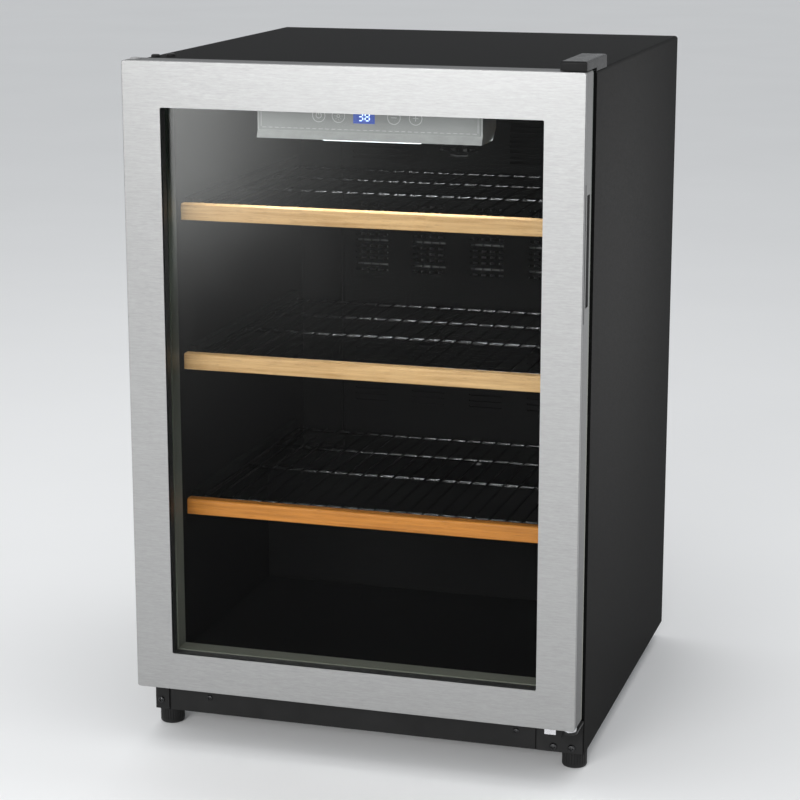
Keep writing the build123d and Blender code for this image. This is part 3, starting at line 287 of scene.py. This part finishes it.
SLOTS = {
    "cabinet_paint": surface(
        "cabinet_satin_black", grey(0.008), grey(0.013), rough=(0.46, 0.54), grain=(0.30, 0.10),
        tone_scale=420.0, grain_scale=1500.0, **shine(0.005),
    ),
    "back_paint": surface(
        "back_matt_black", grey(0.014), grey(0.022), rough=(0.55, 0.66), grain=(0.25, 0.08),
        tone_scale=300.0, grain_scale=1300.0, **shine(0.15),
    ),
    "galvanised_steel": spangled_zinc("galvanised_sheet"),
    "black_painted_steel": surface(
        "bracket_black", grey(0.010), grey(0.018), rough=(0.34, 0.48), grain=(0.25, 0.06),
        tone_scale=30.0, grain_scale=1500.0, **shine(0.15),
    ),
    "trim_plastic": surface(
        "trim_black", grey(0.010), grey(0.016), rough=(0.42, 0.55), grain=(0.30, 0.07),
        tone_scale=20.0, grain_scale=1600.0, **shine(0.15),
    ),
    "liner_plastic": surface(
        "liner_black", grey(0.005), grey(0.008), rough=(0.46, 0.54), grain=(0.03, 0.02),
        tone_scale=300.0, grain_scale=1200.0, **shine(0.01),
    ),
    "foam": surface(
        "foam_cream", (0.62, 0.50, 0.26), (0.78, 0.68, 0.40), rough=(0.85, 0.95), grain=(0.6, 0.6),
        tone_scale=40.0, grain_scale=500.0,
    ),
    "copper": surface(
        "copper_drawn", (0.42, 0.18, 0.09), (0.72, 0.36, 0.22), rough=(0.24, 0.42), grain=(0.10, 0.03),
        tone_scale=45.0, grain_scale=800.0, **METAL,
    ),
    "compressor_paint": surface(
        "compressor_gloss_black", grey(0.010), grey(0.020), rough=(0.20, 0.34), grain=(0.20, 0.10),
        tone_scale=25.0, grain_scale=420.0, **coat(0.4, 0.12),
    ),
    "rubber": surface(
        "rubber_black", grey(0.016), grey(0.028), rough=(0.72, 0.88), grain=(0.35, 0.12),
        tone_scale=60.0, grain_scale=1200.0,
    ),
    "grey_plastic": surface(
        "plastic_grey", grey(0.22), grey(0.28), rough=(0.40, 0.52), grain=(0.22, 0.06),
        tone_scale=22.0, grain_scale=1400.0,
    ),
    "inlet_plastic": surface(
        "inlet_black", grey(0.010), grey(0.018), rough=(0.28, 0.40), grain=(0.15, 0.04),
        tone_scale=60.0, grain_scale=1800.0,
    ),
    "fan_plastic": surface(
        "fan_black", grey(0.018), grey(0.030), rough=(0.38, 0.50), grain=(0.20, 0.05),
        tone_scale=40.0, grain_scale=1500.0,
    ),
    "fin_aluminium": surface(
        "fin_mill_finish", grey(0.16, 0.02), grey(0.24, 0.02), rough=(0.38, 0.54), grain=(0.15, 0.03),
        tone_scale=30.0, grain_scale=900.0, stretch=(1, 1, 6), **METAL,
    ),
    "panel_plastic": surface(
        "panel_grey", grey(0.40), grey(0.46), rough=(0.30, 0.42), grain=(0.12, 0.04),
        tone_scale=120.0, grain_scale=1700.0,
    ),
    "panel_gloss": surface(
        "panel_smoked_gloss", grey(0.30), grey(0.34), rough=(0.10, 0.18), grain=(0.05, 0.02),
        tone_scale=12.0, grain_scale=900.0, **coat(0.5, 0.05),
    ),
    "display_blue": glowing("display_deep_blue", (0.06, 0.12, 0.55), 0.35, (0.01, 0.02, 0.09)),
    "lamp_lens": glowing("lamp_diffuser", (0.90, 0.95, 1.0), 2.2, (0.70, 0.74, 0.80)),
    "cover_gloss": surface(
        "hinge_cover_gloss", grey(0.010), grey(0.015), rough=(0.24, 0.34), grain=(0.06, 0.03),
        tone_scale=25.0, grain_scale=700.0, **shine(0.06),
    ),
    "plated_steel": surface(
        "zinc_plated", grey(0.60, 0.03), grey(0.76, 0.03), rough=(0.20, 0.34), grain=(0.12, 0.03),
        tone_scale=90.0, grain_scale=1500.0, **METAL,
    ),
    "nylon": surface(
        "nylon_white", (0.34, 0.34, 0.32), (0.42, 0.42, 0.40), rough=(0.38, 0.48), grain=(0.12, 0.04),
        tone_scale=60.0, grain_scale=1400.0, **{"Subsurface Weight": 0.1},
    ),
    "stainless": brushed_steel(),
    "door_plastic": surface(
        "door_side_grey", grey(0.050), grey(0.064), rough=(0.42, 0.52), grain=(0.20, 0.05),
        tone_scale=250.0, grain_scale=1800.0,
    ),
    "tunnel_plastic": reveal_painted_reflection(),
    "clear_glass": pane("pane_outer", CLEAR, PANE_MIRROR),
    "spacer_black": surface(
        "spacer_black_anodised", grey(0.010), grey(0.018), rough=(0.40, 0.55), grain=(0.15, 0.04),
        tone_scale=40.0, grain_scale=1200.0,
    ),
    "gasket_vinyl": surface(
        "gasket_vinyl_black", grey(0.012), grey(0.022), rough=(0.46, 0.60), grain=(0.22, 0.08),
        tone_scale=30.0, grain_scale=900.0, **shine(0.3),
    ),
    "magnet_strip": surface(
        "ferrite_strip", (0.045, 0.038, 0.034), (0.070, 0.060, 0.052), rough=(0.70, 0.85), grain=(0.30, 0.08),
        tone_scale=60.0, grain_scale=900.0,
    ),
    "wire_black": surface(
        "wire_black_chrome", grey(0.06, 0.02), grey(0.12, 0.02), rough=(0.12, 0.22), grain=(0.06, 0.03),
        tone_scale=60.0, grain_scale=900.0, **METAL,
    ),
    "beech": beech("beech_oiled", (0.43, 0.235, 0.085), (0.78, 0.50, 0.24)),
}
BY_NODE = {
    "inner_glass": pane("pane_inner", CLEAR, PANE_MIRROR, blur=0.26),
    "shelf_fascia_3": beech("beech_warm", (0.36, 0.125, 0.017), (0.70, 0.27, 0.047)),
}
for entry in frame["record"]["subparts"]:
    name = entry["node"]
    slots = frame["nodes"][name].data.materials
    finish = BY_NODE.get(name, SLOTS[entry["material_slot"]])
    if not slots:
        slots.append(finish)
    for index in range(len(slots)):
        slots[index] = finish


# ---- Piece helpers -----------------------------------------------------------------------------
def piece(name, mesh, slot, body, finish=None, smooth=30.0):
    """A new object from a bmesh, with its finish, riding on a CAD body."""
    bmesh.ops.recalc_face_normals(mesh, faces=mesh.faces)
    limit = math.radians(smooth)
    for face in mesh.faces:
        face.smooth = True
    for edge in mesh.edges:
        edge.smooth = len(edge.link_faces) == 2 and edge.calc_face_angle(0.0) < limit
    data = bpy.data.meshes.new(name)
    mesh.to_mesh(data)
    mesh.free()
    data.materials.append(finish or SLOTS[slot])
    made = bpy.data.objects.new(name, data)
    bpy.context.scene.collection.objects.link(made)
    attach(made, body)
    return made


def rounded_loop(half, low, high, radius, steps=6):
    """Points of an upright rounded rectangle, as (x, z), anticlockwise from the lower right corner."""
    corners = ((1, low, -90), (1, high, 0), (-1, high, 90), (-1, low, 180))
    points = []
    for side, z_edge, start in corners:
        x_centre = side * (half - radius)
        z_centre = z_edge + radius if z_edge == low else z_edge - radius
        for step in range(steps + 1):
            angle = math.radians(start + 90 * step / steps)
            points.append((x_centre + radius * math.cos(angle), z_centre + radius * math.sin(angle)))
    return points


def join_loops(mesh, loops, closed=True):
    """Quads between neighbouring loops of equal length."""
    count = len(loops[0])
    pairs = len(loops) if closed else len(loops) - 1
    for number in range(pairs):
        first, second = loops[number], loops[(number + 1) % len(loops)]
        for step in range(count):
            following = (step + 1) % count
            mesh.faces.new((first[step], first[following], second[following], second[step]))


def smooth_profile(points, steps=4):
    """A closed profile rounded by a Catmull-Rom curve."""
    count = len(points)
    rounded = []
    for index in range(count):
        before, start, end, after = (Vector(points[(index + k) % count]) for k in (-1, 0, 1, 2))
        for step in range(steps):
            t = step / steps
            rounded.append(
                0.5 * (2 * start + (end - before) * t
                       + (2 * before - 5 * start + 4 * end - after) * t**2
                       + (3 * start - before - 3 * end + after) * t**3)
            )
    return rounded


# ---- Gasket: a bellows of soft vinyl all round the door's back -----------------------------------
# The profile is (inwards from the outer edge, forwards from the cabinet), both in millimetres.
GASKET_PROFILE = (
    (0.3, 17.9), (0.3, 15.2), (2.6, 13.4), (0.5, 11.2), (2.6, 9.0), (0.5, 6.8), (0.3, 3.6), (0.5, 0.9),
    (1.6, 0.1), (8.0, 0.25), (14.4, 0.1), (15.5, 0.9), (15.7, 3.6), (15.5, 6.8), (13.4, 9.0), (15.5, 11.2),
    (13.4, 13.4), (15.7, 15.2), (15.7, 17.9), (8.0, 17.9),
)
GASKET_CORNER = 17.0


def gasket_bellows():
    """One closed bellows round the window, with rounded corners."""
    low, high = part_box("door_gasket")
    mesh = bmesh.new()
    rings = []
    for inwards, forwards in smooth_profile(GASKET_PROFILE):
        inset = inwards * MM
        outline = rounded_loop(
            high.x - inset, low.z + inset, high.z - inset, GASKET_CORNER * MM - inset, steps=8
        )
        y = min(high.y, max(low.y, high.y - forwards * MM))
        rings.append([mesh.verts.new((x, y, z)) for x, z in outline])
    join_loops(mesh, rings)
    gasket = piece("gasket_bellows", mesh, "gasket_vinyl", "door", smooth=50.0)
    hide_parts("door_gasket")


gasket_bellows()


# ---- Printed keys, border and digits on the control panel ---------------------------------------
def stand_proud(mesh, y):
    """Extrudes flat faces to y."""
    made = bmesh.ops.extrude_face_region(mesh, geom=list(mesh.faces))
    for vertex in made["geom"]:
        if isinstance(vertex, bmesh.types.BMVert):
            vertex.co.y = y


def bar(mesh, centre, width, height, y, turn=0.0):
    """A flat bar with clipped ends, facing the front."""
    clip = min(width, height) * 0.45
    half_w, half_h = width / 2, height / 2
    outline = (
        (-half_w + clip, -half_h), (half_w - clip, -half_h), (half_w, -half_h + clip),
        (half_w, half_h - clip), (half_w - clip, half_h), (-half_w + clip, half_h),
        (-half_w, half_h - clip), (-half_w, -half_h + clip),
    )
    angle = math.radians(turn)
    verts = []
    for x, z in outline:
        verts.append(mesh.verts.new((
            centre[0] + x * math.cos(angle) - z * math.sin(angle), y,
            centre[1] + x * math.sin(angle) + z * math.cos(angle),
        )))
    mesh.faces.new(verts)


def arc(mesh, centre, radius, width, y, start=0.0, end=360.0, steps=48):
    """A flat ring, or part of one, facing the front."""
    whole = end - start >= 360
    count = steps if whole else steps + 1
    pairs = []
    for step in range(count):
        angle = math.radians(start + (end - start) * step / steps)
        pair = []
        for reach in (radius - width, radius):
            x = centre[0] + reach * math.cos(angle)
            pair.append(mesh.verts.new((x, y, centre[1] + reach * math.sin(angle))))
        pairs.append(pair)
    for step in range(steps):
        near, far = pairs[step], pairs[(step + 1) % len(pairs)]
        mesh.faces.new((near[0], near[1], far[1], far[0]))


PRINT = 0.12 * MM
KEY_R = 8.0 * MM
LINE = 0.8 * MM
panel_low, panel_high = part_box("panel_fascia")
display_low, display_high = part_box("panel_display")
face_y = panel_low.y
key_z = (display_low.z + display_high.z) / 2
white_print = surface(
    "key_print_white", grey(0.50), grey(0.62), rough=(0.40, 0.50), grain=(0.10, 0.02),
    tone_scale=80.0, grain_scale=2000.0,
)


def key(name, x, draw):
    """A ring with a sign in it."""
    mesh = bmesh.new()
    arc(mesh, (x, key_z), KEY_R, LINE, face_y)
    draw(mesh, x)
    stand_proud(mesh, face_y - PRINT)
    piece(name, mesh, "panel_gloss", BODY, white_print)


def power_sign(mesh, x):
    arc(mesh, (x, key_z), 3.6 * MM, LINE, face_y, 125, 415, 24)
    bar(mesh, (x, key_z + 2.6 * MM), LINE, 4.2 * MM, face_y)


def lamp_sign(mesh, x):
    arc(mesh, (x, key_z), 2.2 * MM, LINE, face_y, 0, 360, 24)
    for turn in range(0, 360, 45):
        reach = 4.2 * MM
        angle = math.radians(turn)
        centre = (x + reach * math.cos(angle), key_z + reach * math.sin(angle))
        bar(mesh, centre, 1.6 * MM, 0.5 * MM, face_y, turn)


def minus_sign(mesh, x):
    bar(mesh, (x, key_z), 7.0 * MM, LINE, face_y)


def plus_sign(mesh, x):
    arm = 3.0 * MM
    bar(mesh, (x, key_z), 7.0 * MM, LINE, face_y)
    for side in (-1, 1):
        bar(mesh, (x, key_z + side * (LINE / 2 + arm / 2)), LINE, arm, face_y)


# Each key's place, from the middle of the panel.
key("key_power", -60 * MM, power_sign)
key("key_lamp", -36 * MM, lamp_sign)
key("key_minus", 31 * MM, minus_sign)
key("key_plus", 57 * MM, plus_sign)

DASH = 5.0 * MM
DASH_W = 0.5 * MM
BORDER_IN = 3.0 * MM


def border_print():
    """A dashed line along the top and bottom of the panel's front, and a whole one at each end."""
    mesh = bmesh.new()
    left, right = panel_low.x + BORDER_IN, panel_high.x - BORDER_IN
    lower, upper = panel_low.z + BORDER_IN, panel_high.z - BORDER_IN
    dashes = int((right - left) / (DASH * 1.5))
    for line_z in (lower, upper):
        for number in range(dashes):
            x = left + (number + 0.5) * (right - left) / dashes
            bar(mesh, (x, line_z), DASH, DASH_W, face_y)
    for line_x in (left, right):
        bar(mesh, (line_x, (lower + upper) / 2), DASH_W, upper - lower - 2 * MM, face_y)
    stand_proud(mesh, face_y - PRINT)
    piece("panel_border_print", mesh, "panel_gloss", BODY, white_print)


border_print()

# Seven-segment digits: which segments are lit, in the order top, upper left, upper right, middle,
# lower left, lower right, bottom.
DIGITS = {3: "1011011", 8: "1111111"}
DIGIT_W, DIGIT_H, SEGMENT = 5.0 * MM, 9.0 * MM, 1.1 * MM
DIGIT_SHIFT = 4.0 * MM


def display_digits():
    """A two-digit number, its segments standing a little proud of the display."""
    mesh = bmesh.new()
    digit_y = display_low.y
    spots = (
        (0, DIGIT_H / 2, True), (-DIGIT_W / 2, DIGIT_H / 4, False), (DIGIT_W / 2, DIGIT_H / 4, False),
        (0, 0, True), (-DIGIT_W / 2, -DIGIT_H / 4, False), (DIGIT_W / 2, -DIGIT_H / 4, False),
        (0, -DIGIT_H / 2, True),
    )
    for shift, digit in ((-DIGIT_SHIFT, 3), (DIGIT_SHIFT, 8)):
        x = (display_low.x + display_high.x) / 2 + shift
        for lit, (across, upwards, level) in zip(DIGITS[digit], spots):
            if lit == "1":
                length = DIGIT_W - 1.4 * SEGMENT if level else DIGIT_H / 2 - 1.2 * SEGMENT
                size = (length, SEGMENT) if level else (SEGMENT, length)
                bar(mesh, (x + across, key_z + upwards), size[0], size[1], digit_y)
    stand_proud(mesh, digit_y - PRINT)
    digit_glow = glowing("digit_glow", (0.45, 0.60, 1.0), 3.0, (0.2, 0.3, 0.5))
    piece("display_digits", mesh, "display_blue", BODY, digit_glow)


display_digits()


# ---- Screws with cross recesses, one for each solid of the CAD nodes ------------------------------
def islands(node):
    """The (low, high) boxes of a CAD node's separate solids."""
    data = frame["nodes"][node].data
    owner = list(range(len(data.vertices)))

    def root(index):
        while owner[index] != index:
            owner[index] = owner[owner[index]]
            index = owner[index]
        return index

    spots = {}
    for vertex in data.vertices:
        spot = tuple(round(value, 6) for value in vertex.co)
        owner[root(vertex.index)] = root(spots.setdefault(spot, vertex.index))
    for edge in data.edges:
        owner[root(edge.vertices[0])] = root(edge.vertices[1])
    groups = {}
    for vertex in data.vertices:
        groups.setdefault(root(vertex.index), []).append(vertex.co)
    boxes = []
    for points in groups.values():
        lowest = Vector([min(point[axis] for point in points) for axis in range(3)])
        highest = Vector([max(point[axis] for point in points) for axis in range(3)])
        boxes.append((lowest, highest))
    return sorted(boxes, key=lambda pair: tuple(pair[0]))


SPOKES = 48
RINGS = 14
HEAD_HEIGHT, SHANK = 0.6, 0.45  # as shares of the head's radius
RECESS_HALF, RECESS_REACH = 0.154, 0.56  # of the cross, as shares of the head's radius
RECESS_DEPTH = 0.55  # as a share of the head's height


def screw(mesh, tip, outwards, head_r, head_h, shank_r, length):
    """A pan head on a shank. tip is the top of the head and outwards the way it faces."""
    side = Vector((1, 0, 0)) if abs(outwards.x) < 0.5 else Vector((0, 1, 0))
    other = outwards.cross(side)
    rings = []
    for ring in range(RINGS + 1):
        share = ring / RINGS
        rings.append((head_r * share, -head_h * (1 - math.sqrt(max(0.0, 1 - share**2.6)))))
    rings += [(head_r, -head_h), (shank_r, -head_h), (shank_r, -length)]
    loops = []
    for number, (radius, depth) in enumerate(rings):
        loop = []
        for spoke in range(SPOKES):
            angle = 2 * math.pi * spoke / SPOKES
            u, v = radius * math.cos(angle), radius * math.sin(angle)
            sunk = depth
            in_cross = min(abs(u), abs(v)) <= RECESS_HALF * head_r
            if number <= RINGS and in_cross and max(abs(u), abs(v)) <= RECESS_REACH * head_r:
                sunk -= RECESS_DEPTH * head_h
            loop.append(tip + side * u + other * v + outwards * sunk)
        loops.append(loop)
    centre = mesh.verts.new(loops[0][0])
    made = [[mesh.verts.new(point) for point in loop] for loop in loops[1:]]
    for spoke in range(SPOKES):
        mesh.faces.new((centre, made[0][spoke], made[0][(spoke + 1) % SPOKES]))
    join_loops(mesh, made, closed=False)
    mesh.faces.new(list(reversed(made[-1])))


def screws(node, ways, finish):
    """Replaces a CAD node of screws. ways picks the outward direction from a screw's box."""
    mesh = bmesh.new()
    for lowest, highest in islands(node):
        outwards = ways(lowest, highest)
        size = highest - lowest
        length = abs(size.dot(outwards))
        across = (size.length_squared - length**2) ** 0.5 / math.sqrt(2)
        middle = (lowest + highest) / 2
        head_r = across / 2
        head_h = min(HEAD_HEIGHT * head_r, 0.75 * length)
        tip = middle + outwards * length / 2
        screw(mesh, tip, outwards, head_r, head_h, SHANK * head_r, length)
    made = piece(node + "_crosshead", mesh, "plated_steel", BODY, finish, smooth=40.0)
    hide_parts(node)


def body_screw_way(lowest, highest):
    return Vector((0, -1, 0)) if highest.y < 0 else Vector((0, 1, 0))


def hinge_screw_way(lowest, highest):
    return Vector((0, 0, 1)) if lowest.z > 0.5 else Vector((0, -1, 0))


screw_black = surface(
    "screw_black_zinc", grey(0.05, 0.02), grey(0.09, 0.02), rough=(0.24, 0.38), grain=(0.12, 0.03),
    tone_scale=90.0, grain_scale=1500.0, **METAL,
)
screws("body_screws", body_screw_way, screw_black)
screws("hinge_screws", hinge_screw_way, screw_black)


# ---- Floor, lights and camera --------------------------------------------------------------------
FLOOR_HALF = 30.0


def pale_floor():
    """A wide square floor at z = 0."""
    mesh = bmesh.new()
    corners = ((-1, -1), (1, -1), (1, 1), (-1, 1))
    mesh.faces.new([mesh.verts.new((FLOOR_HALF * x, FLOOR_HALF * y, 0.0)) for x, y in corners])
    data = bpy.data.meshes.new("floor")
    mesh.to_mesh(data)
    mesh.free()
    data.materials.append(surface(
        "floor_pale", grey(0.86), grey(0.88), rough=(0.60, 0.70), grain=(0.02, 0.05),
        tone_scale=1.5, grain_scale=60.0,
    ))
    floor = bpy.data.objects.new("floor", data)
    bpy.context.scene.collection.objects.link(floor)


def softbox(name, at, aim, size, watts, colour=(1, 1, 1)):
    """A rectangular lamp aimed at a point, out of the camera's sight."""
    lamp = bpy.data.lights.new(name, "AREA")
    lamp.shape = "RECTANGLE"
    lamp.size, lamp.size_y = size
    lamp.energy = watts
    lamp.color = colour
    made = bpy.data.objects.new(name, lamp)
    made.location = at
    made.rotation_mode = "QUATERNION"
    made.rotation_quaternion = (Vector(aim) - Vector(at)).to_track_quat("-Z", "Y")
    made.visible_camera = False
    bpy.context.scene.collection.objects.link(made)
    return made


def only_lights(lamp, nodes):
    """Links a lamp to some CAD nodes, so that it falls on nothing else."""
    lit = bpy.data.collections.new(lamp.name + "_falls_on")
    for node in nodes:
        lit.objects.link(frame["nodes"][node])
    lamp.light_linking.receiver_collection = lit


pale_floor()
softbox("overhead", at=(0.0, 0.3, 3.0), aim=(0.0, 0.3, 0.0), size=(3.0, 3.0), watts=28)
softbox("front_high", at=(-0.9, -4.4, 1.5), aim=(-0.1, -0.2, 0.9), size=(2.4, 1.0), watts=86)
# Four lamps that only lift the dark surfaces and the wood, and don't show in anything shiny.
right = softbox("side_right", at=(0.74, -0.10, 0.62), aim=(0.27, -0.12, 0.66), size=(0.35, 0.35), watts=8)
left = softbox("side_left", at=(-0.90, 0.05, 0.70), aim=(-0.27, 0.0, 0.62), size=(0.5, 0.5), watts=12)
rear = softbox("side_rear", at=(0.10, 0.95, 0.80), aim=(0.0, 0.28, 0.60), size=(0.5, 0.5), watts=10)
fill = softbox("front_fill", at=(0.2, -3.6, 1.3), aim=(0.0, -0.2, 0.5), size=(2.0, 1.4), watts=42)
for lamp in (right, left, rear, fill):
    lamp.visible_glossy = False
for lamp in (right, left, rear):
    only_lights(lamp, list(frame["nodes"]))
# The soft pale reflection in the upper left of the window.
veil = softbox(
    "glass_veil", at=(-0.74, -1.19, 0.74), aim=(-0.25, -0.27, 0.75), size=(0.5, 0.5), watts=260
)
only_lights(veil, ["inner_glass"])
# The light that the lamp under the control panel throws on the shelves.
lamp_low, lamp_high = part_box("led_lamp")
inside = ((lamp_low.x + lamp_high.x) / 2, (lamp_low.y + lamp_high.y) / 2, lamp_low.z - 2 * MM)
softbox(
    "lamp_glow", at=inside, aim=(inside[0], inside[1] + 0.3, 0.0), size=(0.36, 0.03), watts=1.3,
    colour=(0.95, 0.98, 1.0),
)

world = bpy.data.worlds.new("studio")
world.use_nodes = True
sky = world.node_tree.nodes["Background"].inputs
sky["Color"].default_value = (0.82, 0.84, 0.86, 1.0)
sky["Strength"].default_value = 0.75
bpy.context.scene.world = world
bpy.context.scene.view_settings.view_transform = "Standard"

CAMERA_AT = (0.8007, -2.7651, 1.0673)
CAMERA_YAW = 16.58
CAMERA_PITCH = 13.39
CAMERA_LENS = 104.65
CAMERA_SENSOR = 36.0
camera_data = bpy.data.cameras.new("camera")
camera_data.sensor_width = CAMERA_SENSOR
camera_data.lens = CAMERA_LENS
camera = bpy.data.objects.new("camera", camera_data)
camera.location = CAMERA_AT
camera.rotation_euler = (math.radians(90 - CAMERA_PITCH), 0.0, math.radians(CAMERA_YAW))
bpy.context.scene.collection.objects.link(camera)
bpy.context.scene.camera = camera
